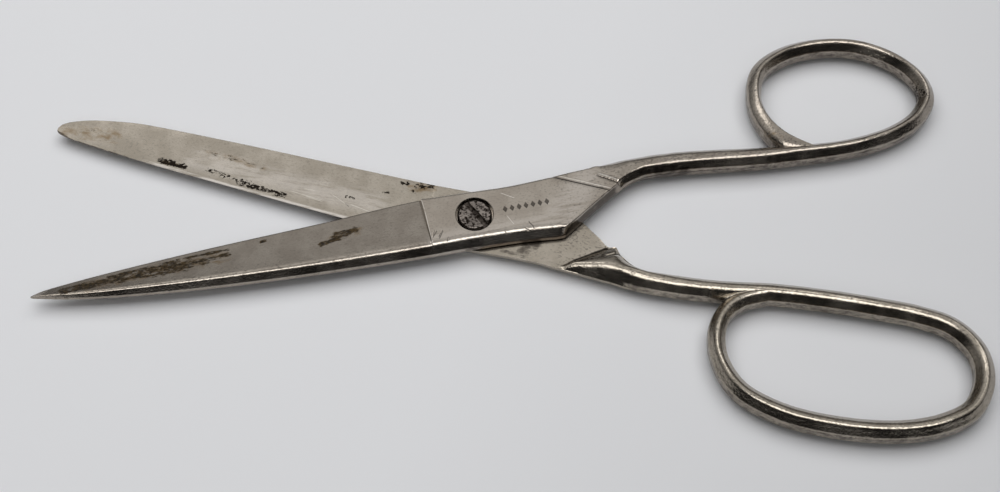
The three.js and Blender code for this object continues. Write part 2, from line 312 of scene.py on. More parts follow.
# Half of a rod's section, from its side up to its crest, as shares of REFERENCE_WIDTH and of the
# height: the regular one, one whose flank goes deeper, and one that is spread flat.
REFERENCE_WIDTH = 4.3
REGULAR_SIDE = np.array([
    (0.0, 0.0), (0.006, 0.2), (0.014, 0.33), (0.026, 0.39), (0.052, 0.45), (0.17, 0.66),
    (0.29, 0.865), (0.36, 0.935), (0.43, 0.98), (0.5, 1.0),
])
DEEP_SIDE = np.array([
    (0.0, 0.0), (0.004, 0.12), (0.01, 0.22), (0.02, 0.31), (0.036, 0.37), (0.18, 0.625),
    (0.33, 0.885), (0.38, 0.945), (0.435, 0.985), (0.5, 1.0),
])
SPREAD_SIDE = np.array([
    (0.0, 0.0), (0.006, 0.25), (0.014, 0.4), (0.04, 0.54), (0.1, 0.67), (0.18, 0.78),
    (0.28, 0.88), (0.36, 0.94), (0.43, 0.98), (0.5, 1.0),
])
FLANK_FOOT, FLANK_TOP = 3, 6  # point numbers in the three shapes above
SPREAD_CREST = 0.68  # where the crest lies across a rod whose outer flank is spread flat


def side_shares(side, width, crest):
    """A side's points as shares of the width: the flank keeps its size, the crown fills up."""
    shares = side[:, 0] * REFERENCE_WIDTH / width
    top = min(shares[FLANK_TOP], 0.64 * crest)
    shares = np.minimum(shares, top)
    crown = (side[FLANK_TOP:, 0] - side[FLANK_TOP, 0]) / (0.5 - side[FLANK_TOP, 0])
    shares[FLANK_TOP:] = mix(top, crest, crown)
    shares[:FLANK_TOP] *= top / max(shares[FLANK_TOP], side[FLANK_TOP, 0] * REFERENCE_WIDTH / width)
    return np.column_stack([shares, side[:, 1]])


def corner_numbers():
    """Numbers of the middle point of each of the section's corners, its ends pulled to the ends."""
    steps = np.cumsum([0] + [CORNER_SAMPLES + n for n in EDGE_SAMPLES[:UNDER_EDGE]])
    numbers = steps + CORNER_SAMPLES // 2
    numbers[0], numbers[-1] = 0, TOP_COUNT - 1
    return numbers


SEAM_HEIGHT = 0.45  # of the dies' seam on a rod's side, above its middle
SEAM_SPREAD = 0.12
SEAM_PROUD = 0.02
SIDE_SETBACK = 0.018  # of the sides beside the seam, as a share of the width


def rod_section(width, half_height, lean):
    """Shares of the width and heights of a forged rod's section, point for point like a plate's.

    A crowned top, sloped flanks and upright sides, with a low seam where the dies met.
    """
    outer = mix(REGULAR_SIDE, DEEP_SIDE if lean > 0.0 else SPREAD_SIDE, abs(lean))
    crest = mix(0.5, SPREAD_CREST, max(-lean, 0.0))
    near = side_shares(outer, width, crest)
    far = side_shares(REGULAR_SIDE, width, 1.0 - crest)[::-1] * (-1.0, 1.0) + (1.0, 0.0)
    per_span = 12
    fine = smooth_polyline(np.vstack([near, far[1:]]), per_span)
    fine[:, 1] *= half_height
    lengths = np.linalg.norm(np.diff(fine * (width, 1.0), axis=0), axis=1)
    along = np.concatenate([[0.0], np.cumsum(lengths)])
    last = 2 * len(REGULAR_SIDE) - 2
    turns = np.array([0, FLANK_FOOT, FLANK_TOP, last - FLANK_TOP, last - FLANK_FOOT, last])
    at = np.interp(np.arange(TOP_COUNT), corner_numbers(), along[turns * per_span])
    top = np.column_stack([np.interp(at, along, fine[:, k]) for k in (0, 1)])
    seam = SEAM_PROUD * np.exp(-((top[:, 1] - SEAM_HEIGHT) / SEAM_SPREAD) ** 2)
    setback = SIDE_SETBACK - seam
    top[:, 0] += np.where(top[:, 0] < crest, setback, -setback)
    u = np.linspace(0.0, 1.0, EDGE_SAMPLES[UNDER_EDGE] + 2)[1:-1]
    at = (1.0 - u ** UNDER_SPREAD) * along[-1]
    under = np.column_stack([np.interp(at, along, fine[:, 0]), -np.interp(at, along, fine[:, 1])])
    under[:, 0] += np.where(under[:, 0] < crest, SIDE_SETBACK, -SIDE_SETBACK)
    return np.vstack([top, under])


def smaller(a, b, blend):
    """The smaller of a and b, rounded over where they cross."""
    share = np.clip(0.5 + 0.5 * (b - a) / blend, 0.0, 1.0)
    return mix(b, a, share) - blend * share * (1.0 - share)


UNDER_SLOPE = 1.28  # of the swell's flank by the high rail
UNDER_RIM = 0.08  # flat strip between the rail and that flank


def under_swell(share, width, s):
    """How far the underside stands below the inner face.

    It climbs steeply from the high rail to a rounded crest, then falls gently to the step.
    """
    height = s["under"]
    if height < 0.02:
        return np.zeros_like(share)
    inward = (1.0 - share) * width
    flank = UNDER_SLOPE * (inward - UNDER_RIM)
    reach = (1.0 - s["step"]) * width
    crest = min(height / UNDER_SLOPE + 0.5, 0.8 * reach)
    ramp = 1.0 - np.clip((inward - crest) / max(reach - crest, 0.1), 0.0, 1.0) ** 1.5
    return np.maximum(smaller(flank, height * ramp, min(0.9, 0.6 * height)), 0.0)


def ring(s, lo, hi, half_height=ROD_HALF_HEIGHT, lean=0.0):
    """One closed ring of points between its rails, as an array of (x, y, z)."""
    width = np.linalg.norm(hi - lo)
    flat = plate_section(s, width)
    flat[:, 0] /= width
    oval = rod_section(width, half_height, lean)
    under = np.arange(RING_COUNT) >= TOP_COUNT
    dish = 4.0 * flat[:, 0] * (1.0 - flat[:, 0])  # 1 in mid-width, 0 at the rails
    flat[under, 1] += s["hollow"] * dish[under] ** 0.6
    flat[under, 1] -= under_swell(flat[under, 0], width, s)
    outer = (flat[:, 1] > INNER_FACE) & ~under
    flat[outer, 1] -= s["hollow"] * dish[outer] * 0.8
    share = np.where(under, s["round_under"], s["round_top"])[:, None]
    section = mix(flat, oval, share)
    xy = lo + (hi - lo) * section[:, :1]
    return np.column_stack([xy, section[:, 1]])


def rod_rails(path, widths, t, last):
    """Rails of rod sections at the parameters t of their path."""
    nearby = 0.02
    along = path(np.minimum(t + nearby, last)) - path(np.maximum(t - nearby, 0.0))
    along /= np.linalg.norm(along, axis=1)[:, None]
    side = np.column_stack([along[:, 1], -along[:, 0]]) * (widths(t) / 2.0)[:, None]
    centre = path(t)
    return centre + side, centre - side


def stepped(stops, lengths, step):
    """Values from stop to stop, as many in each span as its length in mm needs."""
    counts = [max(3, int(np.ceil(length / step))) for length in lengths]
    spans = zip(stops, stops[1:], counts)
    return np.concatenate([np.linspace(a, b, count, endpoint=False) for a, b, count in spans])


def half_rings(body, rods, leans):
    """Rings of a whole half, blade tip to foot, and the number of the foot's first ring."""
    rods = np.asarray(rods, float)
    last = len(rods) - 1
    path = path_through(rods[:, :2])
    numbers = np.arange(len(rods))
    widths = monotone(numbers, rods[:, 2])
    heights = [ROD_HALF_HEIGHT] * (len(rods) - FOOT_STATIONS) + [FOOT_HALF_HEIGHT] * FOOT_STATIONS
    half_height = monotone(numbers, heights)
    lean = monotone(*np.transpose(leans))
    lo, hi = rod_rails(path, widths, np.array([0.0, 1.0]), last)
    stations = body + [shank(lo[0], hi[0], 0.6), shank(lo[1], hi[1], 1.0)]
    los = np.array([s["lo"] for s in stations], float)
    his = np.array([s["hi"] for s in stations], float)
    middle = (los + his) / 2.0
    spans = np.linalg.norm(np.diff(middle, axis=0), axis=1)
    place = np.concatenate([[0.0], np.cumsum(spans)])
    rails = [monotone(place, values) for values in (los[:, 0], los[:, 1], his[:, 0], his[:, 1])]
    keys = [key for key in stations[0] if key not in ("lo", "hi")]
    blended = {key: monotone(place, [s[key] for s in stations]) for key in keys}
    rings = []
    for at in stepped(place, spans, BODY_STEP):
        s = {key: float(blended[key](at)) for key in keys}
        x0, y0, x1, y1 = (float(rail(at)) for rail in rails)
        rings.append(ring(s, np.array([x0, y0]), np.array([x1, y1])))
    gaps = np.linalg.norm(np.diff(rods[:, :2], axis=0), axis=1)
    turns = np.append(stepped(numbers[1:], gaps[1:], ROD_STEP), float(last))
    los, his = rod_rails(path, widths, turns, last)
    foot_from = len(rings) + int(np.searchsorted(turns, last - FOOT_STATIONS - 1))
    for t, a, b in zip(turns, los, his):
        rings.append(ring(stations[-1], a, b, float(half_height(t)), float(lean(t))))
    return rings, foot_from


# --- Meshes ---

def linked(name, data):
    """A new object in the scene."""
    made = bpy.data.objects.new(name, data)
    bpy.context.scene.collection.objects.link(made)
    return made


def loft(name, rings):
    """A closed mesh object that joins one ring to the next, with a fan at each end."""
    sides = len(rings[0])
    count = len(rings)
    points = np.vstack(rings + [rings[0].mean(axis=0), rings[-1].mean(axis=0)])
    i = np.arange(sides)
    after = (i + 1) % sides
    faces = []
    for r in range(count - 1):
        a = r * sides
        faces += np.column_stack([a + i, a + sides + i, a + sides + after, a + after]).tolist()
    first, end = count * sides, (count - 1) * sides
    faces += [(first, int(a), int(b)) for a, b in zip(i, after)]
    faces += [(first + 1, int(end + b), int(end + a)) for a, b in zip(i, after)]
    mesh = bpy.data.meshes.new(name)
    mesh.from_pydata(points.tolist(), [], faces)
    return linked(name, mesh)


TURN_SEGMENTS = 96


def turned(name, profile):
    """A solid of revolution about Z from (radius, z) points that start and end on the axis."""
    bm = bmesh.new()
    angles = [k * (2.0 * math.pi / TURN_SEGMENTS) for k in range(TURN_SEGMENTS)]
    rows = []
    for r, z in profile:
        if r < 1e-6:
            rows.append([bm.verts.new((0.0, 0.0, z))])
        else:
            rows.append([bm.verts.new((r * math.cos(a), r * math.sin(a), z)) for a in angles])
    for low, high in zip(rows, rows[1:]):
        for k in range(TURN_SEGMENTS):
            n = (k + 1) % TURN_SEGMENTS
            below, above = len(low), len(high)
            corners = [low[k % below], low[n % below], high[n % above], high[k % above]]
            face = list(dict.fromkeys(corners))
            if len(face) > 2:
                bm.faces.new(face)
    bmesh.ops.recalc_face_normals(bm, faces=bm.faces)
    mesh = bpy.data.meshes.new(name)
    bm.to_mesh(mesh)
    bm.free()
    return linked(name, mesh)


def combine(target, tool, operation):
    """Boolean of the two objects, kept in target; the tool is removed."""
    modifier = target.modifiers.new("combine", "BOOLEAN")
    modifier.operation = operation
    modifier.solver = "EXACT"
    modifier.object = tool
    graph = bpy.context.evaluated_depsgraph_get()
    mesh = bpy.data.meshes.new_from_object(target.evaluated_get(graph))
    target.modifiers.clear()
    old = target.data
    target.data = mesh
    bpy.data.meshes.remove(old)
    bpy.data.objects.remove(tool)


def coordinates(mesh):
    co = np.empty(len(mesh.vertices) * 3, np.float32)
    mesh.vertices.foreach_get("co", co)
    return co.reshape(-1, 3).astype(float)


def set_coordinates(mesh, co):
    mesh.vertices.foreach_set("co", co.astype(np.float32).ravel())
    mesh.update()


WEB_RADIUS = 6.5  # mm around a bow's foot that is smoothed
WEB_ROUNDS = 10
WEB_STEP = 0.6  # share of the way to the neighbours' middle in one round


def soften_web(mesh, centre):
    """Smooths the web where a bow's foot runs into its shank."""
    co = coordinates(mesh)
    edges = np.empty(len(mesh.edges) * 2, int)
    mesh.edges.foreach_get("vertices", edges)
    a, b = edges.reshape(-1, 2).T
    count = np.bincount(a, minlength=len(co)) + np.bincount(b, minlength=len(co))
    distance = np.linalg.norm(co[:, :2] - np.asarray(centre), axis=1)
    weight = (1.0 - smoothstep(0.45 * WEB_RADIUS, WEB_RADIUS, distance))[:, None]
    for _ in range(WEB_ROUNDS):
        total = np.zeros_like(co)
        np.add.at(total, a, co[b])
        np.add.at(total, b, co[a])
        co += (total / count[:, None] - co) * weight * WEB_STEP
    set_coordinates(mesh, co)


def placed(obj, lower):
    """Moves a half from its own frame in mm into the part's frame in metres."""
    turn = math.radians(-OPENING / 2 if lower else OPENING / 2)
    over = Matrix.Rotation(math.pi, 4, "X") if lower else Matrix.Identity(4)
    move = Matrix.Translation(PIVOT) @ Matrix.Scale(MM, 4) @ Matrix.Rotation(turn, 4, "Z") @ over
    obj.data.transform(move)
    obj.data.update()


def line_distance(x, y, start, end):
    """Signed distance from a line, positive on its left, and the share along it."""
    ax, ay = start
    dx, dy = end[0] - ax, end[1] - ay
    length = math.hypot(dx, dy)
    side = ((y - ay) * dx - (x - ax) * dy) / length
    along = ((x - ax) * dx + (y - ay) * dy) / length ** 2
    return side, along


def groove(side, width):
    return np.exp(-(side / width) ** 2)


def wobble(point, scale):
    """A smooth shift that varies from place to place, always the same for the same place."""
    place = Vector(point) * scale
    offsets = ((0.0, 0.0, 0.0), (31.4, 7.7, 0.0), (0.0, 57.2, 13.9))
    return np.array([noise.noise(place + Vector(offset)) for offset in offsets])


UNEVENNESS = 0.032  # mm
COARSE_WOBBLE, FINE_WOBBLE = 0.36, 0.95  # waves per mm
FINE_SHARE = 0.4


def uneven(co):
    """The slight unevenness of forging, on the neck, shank and bow."""
    share = UNEVENNESS * smoothstep(18.0, 26.0, co[:, 0])
    for i in np.flatnonzero(share > 0.0):
        shift = wobble(co[i], COARSE_WOBBLE) + FINE_SHARE * wobble(co[i], FINE_WOBBLE)
        co[i] += share[i] * shift
    co[:, 2] = np.clip(co[:, 2], -ROD_HALF_HEIGHT, ROD_HALF_HEIGHT)
    return co


def detail_front(co):
    """Tool marks on the upper half's neck: its shoulder line, and the cut by its shank."""
    x, y, z = co.T
    top = smoothstep(0.8, 2.0, z)
    side, along = line_distance(x, y, (16.4, 5.4), (27.9, -0.5))
    near = top * smoothstep(-0.05, 0.05, along) * (1.0 - smoothstep(0.98, 1.08, along))
    drop = 0.12 * smoothstep(-0.15, 0.25, side) * (1.0 - smoothstep(6.0, 9.0, side))
    drop += 0.1 * groove(side, 0.25)
    side, along = line_distance(x, y, (25.2, 4.1), (30.0, 1.1))
    cut = groove(side - 0.12, 0.3) * smoothstep(-0.05, 0.3, along)
    cut *= 1.0 - smoothstep(1.0, 1.15, along)
    z = z - drop * near - 0.35 * cut * smoothstep(0.2, 1.6, z)
    return np.column_stack([x, y, z])


def detail_back(co):
    """The lower half's shoulder line and nib, on the side that faces its partner."""
    x, y, z = co.T
    under = 1.0 - smoothstep(0.1, 0.3, z)
    side, along = line_distance(x, y, (17.9, 6.9), (27.3, -0.3))
    fade = smoothstep(0.1, 0.3, along) * (1.0 - smoothstep(1.0, 1.1, along))
    z = z + 0.08 * groove(side - 0.1, 0.25) * fade * under
    side, along = line_distance(x, y, (26.6, 3.3), (29.7, 1.2))
    z = z + 0.4 * groove(side, 0.3) * smoothstep(-0.1, 0.25, along) * under
    return np.column_stack([x, y, z])


def build_half(name, body, rods, leans, lower):
    rings, foot_from = half_rings(body, rods, leans)
    main = loft(name, rings[: foot_from + 1])
    foot = loft(name + "_foot", rings[foot_from:])
    combine(main, foot, "UNION")
    junction = np.mean([rods[-2][:2], rods[-3][:2]], axis=0)
    soften_web(main.data, junction)
    co = uneven(coordinates(main.data))
    co = detail_back(co) if lower else detail_front(co)
    set_coordinates(main.data, co)
    below, above = -1.0, PLATE_TOP + 1.0  # past both faces
    if lower:
        wall = THREAD_RADIUS + THREAD_PLAY
        profile = [(0, below), (wall, below), (wall, above), (0, above)]
    else:
        seat = PLATE_TOP - HEAD_THICKNESS - SEAT_PLAY
        inner = SHOULDER_RADIUS + SHOULDER_PLAY
        outer = COUNTERBORE_RADIUS
        mouth = outer + 0.3
        profile = [
            (0, below), (inner, below), (inner, seat), (outer, seat),
            (outer, PLATE_TOP - 0.12), (mouth, PLATE_TOP + 0.2), (mouth, above), (0, above),
        ]
    combine(main, turned("bore", profile), "DIFFERENCE")
    return main


def build_screw():
    """Pivot screw: worn domed head with a slot, plain shoulder and threaded end."""
    top = PLATE_TOP + HEAD_DOME
    face = HEAD_RADIUS - HEAD_RIM
    head = [(face * u, top - HEAD_DOME * u * u) for u in np.linspace(0.0, 1.0, 24)]
    rim = [
        (face + 0.15, PLATE_TOP - 0.08), (HEAD_RADIUS - 0.08, PLATE_TOP - 0.4),
        (HEAD_RADIUS, PLATE_TOP - 0.5),
    ]
    bottom = [
        (HEAD_RADIUS, PLATE_TOP - HEAD_THICKNESS), (SHOULDER_RADIUS, PLATE_TOP - HEAD_THICKNESS),
        (SHOULDER_RADIUS, INNER_FACE), (THREAD_RADIUS, -INNER_FACE),
    ]
    root = THREAD_RADIUS - THREAD_DEPTH
    for k in range(THREAD_TURNS):
        z = -INNER_FACE - 0.1 - k * THREAD_PITCH
        bottom += [(THREAD_RADIUS, z), (root, z - THREAD_PITCH / 2)]
    bottom += [
        (THREAD_RADIUS, -PLATE_TOP + 0.35), (root, -PLATE_TOP + 0.05),
        (0.6, -PLATE_TOP + 0.02), (0.0, -PLATE_TOP + 0.15),
    ]
    screw = turned("worn_pivot_screw", head + rim + bottom)
    bm = bmesh.new()
    cut = bmesh.ops.create_cube(bm, size=1.0)["verts"]
    bmesh.ops.scale(bm, vec=(2.6 * HEAD_RADIUS, SLOT_WIDTH, 2 * SLOT_DEPTH), verts=cut)
    mesh = bpy.data.meshes.new("slot")
    bm.to_mesh(mesh)
    bm.free()
    slot = linked("slot", mesh)
    aside = Matrix.Translation((0.0, SLOT_OFFSET, 0.0))
    turn = Matrix.Rotation(math.radians(SLOT_ANGLE), 4, "Z")
    slot.data.transform(Matrix.Translation((0.0, 0.0, top)) @ turn @ aside)
    combine(screw, slot, "DIFFERENCE")
    return screw


def shade_smooth(mesh):
    """Smooth shading, with sharp edges where faces meet at more than 40 degrees."""
    mesh.polygons.foreach_set("use_smooth", [True] * len(mesh.polygons))
    mesh.set_sharp_from_angle(angle=math.radians(40))


# --- Wear and painted shade, painted on each half in its own frame ---

def capsule(x, y, start, end, radius):
    """1 along a segment, falling to 0 at radius from it."""
    (ax, ay), (bx, by) = start, end
    dx, dy = bx - ax, by - ay
    along = np.clip(((x - ax) * dx + (y - ay) * dy) / max(dx * dx + dy * dy, 1e-9), 0.0, 1.0)
    distance = np.hypot(x - ax - along * dx, y - ay - along * dy)
    return 1.0 - smoothstep(0.25 * radius, radius, distance)


def strongest(x, y, spots):
    """The strongest of several capsules (start, end, radius, strength)."""
    total = np.zeros(len(x))
    for start, end, radius, strength in spots:
        total = np.maximum(total, strength * capsule(x, y, start, end, radius))
    return total


# Where each kind of wear and painted shade lies: start, end, radius and strength of its capsules.
FRONT_MARKS = {
    "stain": [
        ((-81, 0.9), (-70, 1.3), 1.9, 0.83), ((-70, 1.6), (-57, 1.5), 2.9, 0.84),
        ((-60, 2.0), (-53, 1.6), 1.9, 0.78), ((-54, 1.9), (-48.5, 2.3), 1.0, 0.8),
        ((-30.5, 0.3), (-25.5, 1.5), 1.2, 0.9), ((-27.5, 2.0), (-23.5, 2.5), 1.6, 0.8),
        ((-66, 3.3), (-48.5, 3.7), 1.0, 0.85),
        ((-41.9, 3.9), (-41.2, 4.0), 0.7, 1.0), ((-72, 2.6), (-64, 2.8), 1.2, 0.85),
    ],
    "rust": [
        ((-76, 1.2), (-50, 2.0), 3.4, 0.6), ((-29, 1.0), (-23, 2.2), 2.0, 0.6),
        ((61, 7.0), (63.5, 5.0), 1.6, 0.5),
    ],
    "pits": [((92, 14.5), (94.8, 9.5), 2.4, 0.95), ((84, 22.5), (90, 19.5), 1.8, 0.4)],
    "grime_and_shade": [
        ((38, 3.0), (43.5, 2.4), 1.6, 0.8), ((34.5, 3.2), (36, 3.0), 1.0, 0.7),
        ((60, 0.6), (62, 0.4), 1.3, 0.7), ((61.5, 5.5), (63.0, 4.2), 1.0, 0.45),
        # painted shade: dark lines along the blade's tip and cutting edge
        ((-87.2, 1.3), (-80, 2.6), 0.4, 0.9), ((-80, 2.6), (-66, 3.9), 0.35, 0.8),
    ],
    "bright": [((-8, -4.5), (14, -4.8), 3.4, 0.25), ((17, -3), (23, 3), 5.0, 0.3)],
}
BACK_MARKS = {
    "stain": [
        ((-57, -4.7), (-50, -3.9), 0.8, 0.6), ((-52, -4.6), (-44.5, -3.4), 0.9, 0.6),
        ((-64.5, -0.6), (-60.5, -0.3), 0.8, 0.9), ((-84, -4.5), (-80, -5.2), 1.0, 0.5),
    ],
    "rust": [
        ((-14, -5.0), (-10.0, -6.0), 2.0, 0.75), ((-86, -3.6), (-76, -4.5), 3.2, 0.55),
        ((48.5, 7.0), (50.5, 8.2), 1.4, 0.45), ((-56, -4.5), (-44, -3.4), 1.8, 0.5),
    ],
    "pits": [
        ((-65, -0.9), (-60, -0.4), 1.3, 1.0), ((-55, -0.6), (-46, 0.6), 1.2, 0.75),
        ((-48, 0.8), (-38.5, 1.9), 1.1, 1.0), ((-12.9, -5.8), (-10.2, -6.3), 1.3, 1.0),
        ((-16, -5.9), (-15, -5.9), 0.9, 0.9), ((-13.6, -4.4), (-12.8, -4.7), 0.9, 0.9),
        ((-19.2, -3.0), (-18.2, -3.2), 0.8, 0.9), ((-26.2, -0.5), (-25, -0.2), 0.8, 0.85),
    ],
    "grime_and_shade": [
        # painted shade: a dark patch on the ricasso where the upper half shades it
        ((13.8, 0.6), (10.6, 4.6), 2.3, 0.78), ((6.5, 5.4), (10.5, 5.2), 0.9, 0.6),
        # real grime by a rust spot, then painted shade in the crease along the shoulder line
        ((48.3, 7.0), (50.5, 8.6), 1.0, 0.5), ((21, 4.6), (26.6, 0.6), 0.7, 0.8),
        # painted shade: dark lines along the blade's tip and edge
        ((-87.8, -3.2), (-84.5, -1.8), 0.4, 1.0), ((-84.5, -1.8), (-72, -0.1), 0.35, 0.9),
    ],
    "bright": [((-40, -1.4), (-29, 0.6), 2.0, 0.4), ((-58, -2.4), (-20, 0.0), 3.6, 0.35)],
}


def edge_wear(half, x, y):
    """The narrow strip along the cutting edge that rubs on the other blade."""
    rail = np.array([s["hi"] for s in half if s["hi"][0] < -9.0])
    edge = np.interp(x, rail[:, 0], rail[:, 1])
    near = 1.0 - smoothstep(0.4, 0.75, edge - y)
    return np.where(x < -10.0, near, 0.0) * smoothstep(-70.0, -64.0, x)


def from_spine(half, x, y):
    """How far in a point lies from the low rail."""
    rail = np.array([s["lo"] for s in half])
    return y - np.interp(x, rail[:, 0], rail[:, 1])


def store(mesh, name, values):
    """Keeps a value per point for the materials."""
    kept = mesh.attributes.new(name, "FLOAT", "POINT")
    kept.data.foreach_set("value", values.astype(np.float32))


def store_place(mesh, co):
    """Keeps each point's place in its own piece's frame, so that its marks move with it."""
    kept = mesh.attributes.new("own", "FLOAT_VECTOR", "POINT")
    kept.data.foreach_set("vector", co.astype(np.float32).ravel())


def paint_screw(mesh):
    """Painted shade round the head's rim and in its slot."""
    co = coordinates(mesh)
    x, y, z = co.T
    turn = math.radians(SLOT_ANGLE)
    aside = np.abs(y * math.cos(turn) - x * math.sin(turn) - SLOT_OFFSET)
    slot = (1.0 - smoothstep(0.45, 0.7, aside)) * (1.0 - smoothstep(2.4, 2.9, z))
    # painted shade in the slot and round the rim
    store(mesh, "grime_and_shade", np.maximum(slot, smoothstep(2.9, 3.2, np.hypot(x, y))))
    store(mesh, "forged", np.ones(len(x)))
    store_place(mesh, co)


def darker_low_sides(x, z, lower):
    """Darker colour low on the upright sides of the shanks and bows."""
    below = 1.0 - smoothstep(0.8, 1.5, -z if lower else z)
    return 0.6 * smoothstep(ROD_FROM, ROD_FROM + 3.0, x) * below


def painted_wall_shade(half, x, y, z):
    """Painted shade low on the upper half's wall by the screw, and all over its heel's wall."""
    inward = from_spine(half, x, y)
    heel = smoothstep(16.0, 18.0, x)
    depth = mix(1.25, 2.5, heel)
    wall = 1.0 - smoothstep(depth - 0.25, depth + 0.25, z)
    wall *= 1.0 - smoothstep(0.5, 1.0, inward / mix(0.3, 0.9, heel))
    return wall * smoothstep(-9.0, 2.0, x) * (1.0 - smoothstep(28.0, 30.0, x))


def paint(mesh, marks, half, lower):
    """Stores where each kind of wear and painted shade lies: on the half's shown side, and all
    round its rods.
    """
    co = coordinates(mesh)
    x, y, z = co.T
    shown = smoothstep(-0.3, 0.1, -z + 0.4) if lower else smoothstep(0.2, 0.6, z)
    shown = np.where(x > ROD_FROM, 1.0, shown)
    wear_and_shade = {name: strongest(x, y, spots) * shown for name, spots in marks.items()}
    # darker colour low on the sides of the shanks and bows
    wear_and_shade["grime_and_shade"] = np.maximum(wear_and_shade["grime_and_shade"], darker_low_sides(x, z, lower))
    wear_and_shade["forged"] = smoothstep(15.0, 20.0, x)
    if lower:
        wear_and_shade["bright"] = np.maximum(wear_and_shade["bright"], edge_wear(half, x, y) * shown)
    else:
        # painted shade on the wall by the screw and on the heel's wall
        wear_and_shade["grime_and_shade"] = np.maximum(wear_and_shade["grime_and_shade"], painted_wall_shade(half, x, y, z))
        spine = 1.0 - smoothstep(1.2, 3.0, from_spine(half, x, y))
        wear_and_shade["forged"] = np.maximum(wear_and_shade["forged"], 0.8 * spine)
    for name, values in wear_and_shade.items():
        store(mesh, name, values)
    store_place(mesh, co)


# --- Materials ---

class Nodes:
    """Short calls for building one material's node tree."""

    def __init__(self, name):
        self.material = bpy.data.materials.new(name)
        self.material.use_nodes = True
        self.tree = self.material.node_tree
        self.shader = self.tree.nodes["Principled BSDF"]

    def put(self, value, socket):
        if isinstance(value, bpy.types.NodeSocket):
            self.tree.links.new(value, socket)
        else:
            socket.default_value = value

    def math(self, operation, a, b=0.0):
        node = self.tree.nodes.new("ShaderNodeMath")
        node.operation = operation
        self.put(a, node.inputs[0])
        self.put(b, node.inputs[1])
        return node.outputs[0]

    def plus(self, a, b):
        return self.math("ADD", a, b)

    def minus(self, a, b):
        return self.math("SUBTRACT", a, b)

    def times(self, a, b):
        return self.math("MULTIPLY", a, b)

    def ramp(self, value, low, high, to_low=0.0, to_high=1.0):
        """value between low and high, eased onto to_low ... to_high."""
        node = self.tree.nodes.new("ShaderNodeMapRange")
        node.interpolation_type = "SMOOTHSTEP"
        self.put(value, node.inputs["Value"])
        ends = {"From Min": low, "From Max": high, "To Min": to_low, "To Max": to_high}
        for name, end in ends.items():
            node.inputs[name].default_value = end
        return node.outputs[0]

    def split(self, vector):
        """The vector's outputs X, Y and Z."""
        node = self.tree.nodes.new("ShaderNodeSeparateXYZ")
        self.tree.links.new(vector, node.inputs[0])
        return node.outputs

    def line(self, vector, start, end, width):
        """1 on a straight mark, falling to 0 at width to its sides and at its ends."""
        dx, dy = end[0] - start[0], end[1] - start[1]
        mapping = self.tree.nodes.new("ShaderNodeMapping")
        mapping.vector_type = "TEXTURE"
        mapping.inputs["Location"].default_value = (start[0] + dx / 2, start[1] + dy / 2, 0.0)
        mapping.inputs["Rotation"].default_value = (0.0, 0.0, math.atan2(dy, dx))
        mapping.inputs["Scale"].default_value = (math.hypot(dx, dy) / 2, width, 1.0)
        self.tree.links.new(vector, mapping.inputs["Vector"])
        place = self.split(mapping.outputs[0])
        along = self.ramp(self.math("ABSOLUTE", place["X"]), 0.75, 1.05, 1.0, 0.0)
        across = self.ramp(self.math("ABSOLUTE", place["Y"]), 0.15, 1.0, 1.0, 0.0)
        return self.times(along, across)

    def strongest(self, values):
        total = values[0]
        for value in values[1:]:
            total = self.math("MAXIMUM", total, value)
        return total

    def mix(self, share, a, b):
        node = self.tree.nodes.new("ShaderNodeMix")
        node.data_type = "RGBA"
        self.put(share, node.inputs[0])
        self.put(a, node.inputs[6])
        self.put(b, node.inputs[7])
        return node.outputs[2]

    def attribute(self, name):
        node = self.tree.nodes.new("ShaderNodeAttribute")
        node.attribute_name = name
        return node

    def noise(self, vector, scale, detail=2.0, stretch=(1.0, 1.0, 1.0), rough=0.5):
        mapping = self.tree.nodes.new("ShaderNodeMapping")
        mapping.inputs["Scale"].default_value = stretch
        self.tree.links.new(vector, mapping.inputs["Vector"])
        node = self.tree.nodes.new("ShaderNodeTexNoise")
        node.inputs["Scale"].default_value = scale
        node.inputs["Detail"].default_value = detail
        node.inputs["Roughness"].default_value = rough
        self.tree.links.new(mapping.outputs[0], node.inputs["Vector"])
        return node.outputs["Fac"]


DARK = (0.016, 0.012, 0.009, 1.0)
# colour of grime, also used for painted shade
GRIME_AND_SHADE = (0.045, 0.036, 0.03, 1.0)
RUST = (0.19, 0.125, 0.06, 1.0)
STAIN = (0.08, 0.054, 0.026, 1.0)
STAIN_DARK = (0.018, 0.014, 0.009, 1.0)
RUBBED = (0.68, 0.635, 0.585, 1.0)
# colour of painted highlight lines
GLINT = (0.7, 0.66, 0.6, 1.0)

PUNCH_START = (5.4, -0.1)
PUNCH_PITCH = 1.4
PUNCH_COUNT = 7
PUNCH_HALF_HEIGHT = 0.75


def punch_row(n, vector):
    """A row of small lozenge punch marks along X, as plain decoration."""
    place = n.split(vector)
    steps = n.math("DIVIDE", n.minus(place["X"], PUNCH_START[0]), PUNCH_PITCH)
    across = n.math("ABSOLUTE", n.minus(n.math("FRACT", steps), 0.5))
    across = n.times(across, PUNCH_PITCH / 0.5)
    off = n.math("ABSOLUTE", n.minus(place["Y"], PUNCH_START[1]))
    off = n.math("DIVIDE", off, PUNCH_HALF_HEIGHT)
    inside = n.ramp(n.plus(across, off), 0.75, 1.05, 1.0, 0.0)
    middle = n.math("ABSOLUTE", n.minus(steps, PUNCH_COUNT / 2))
    within = n.ramp(middle, PUNCH_COUNT / 2 - 0.02, PUNCH_COUNT / 2, 1.0, 0.0)
    return n.times(inside, within)


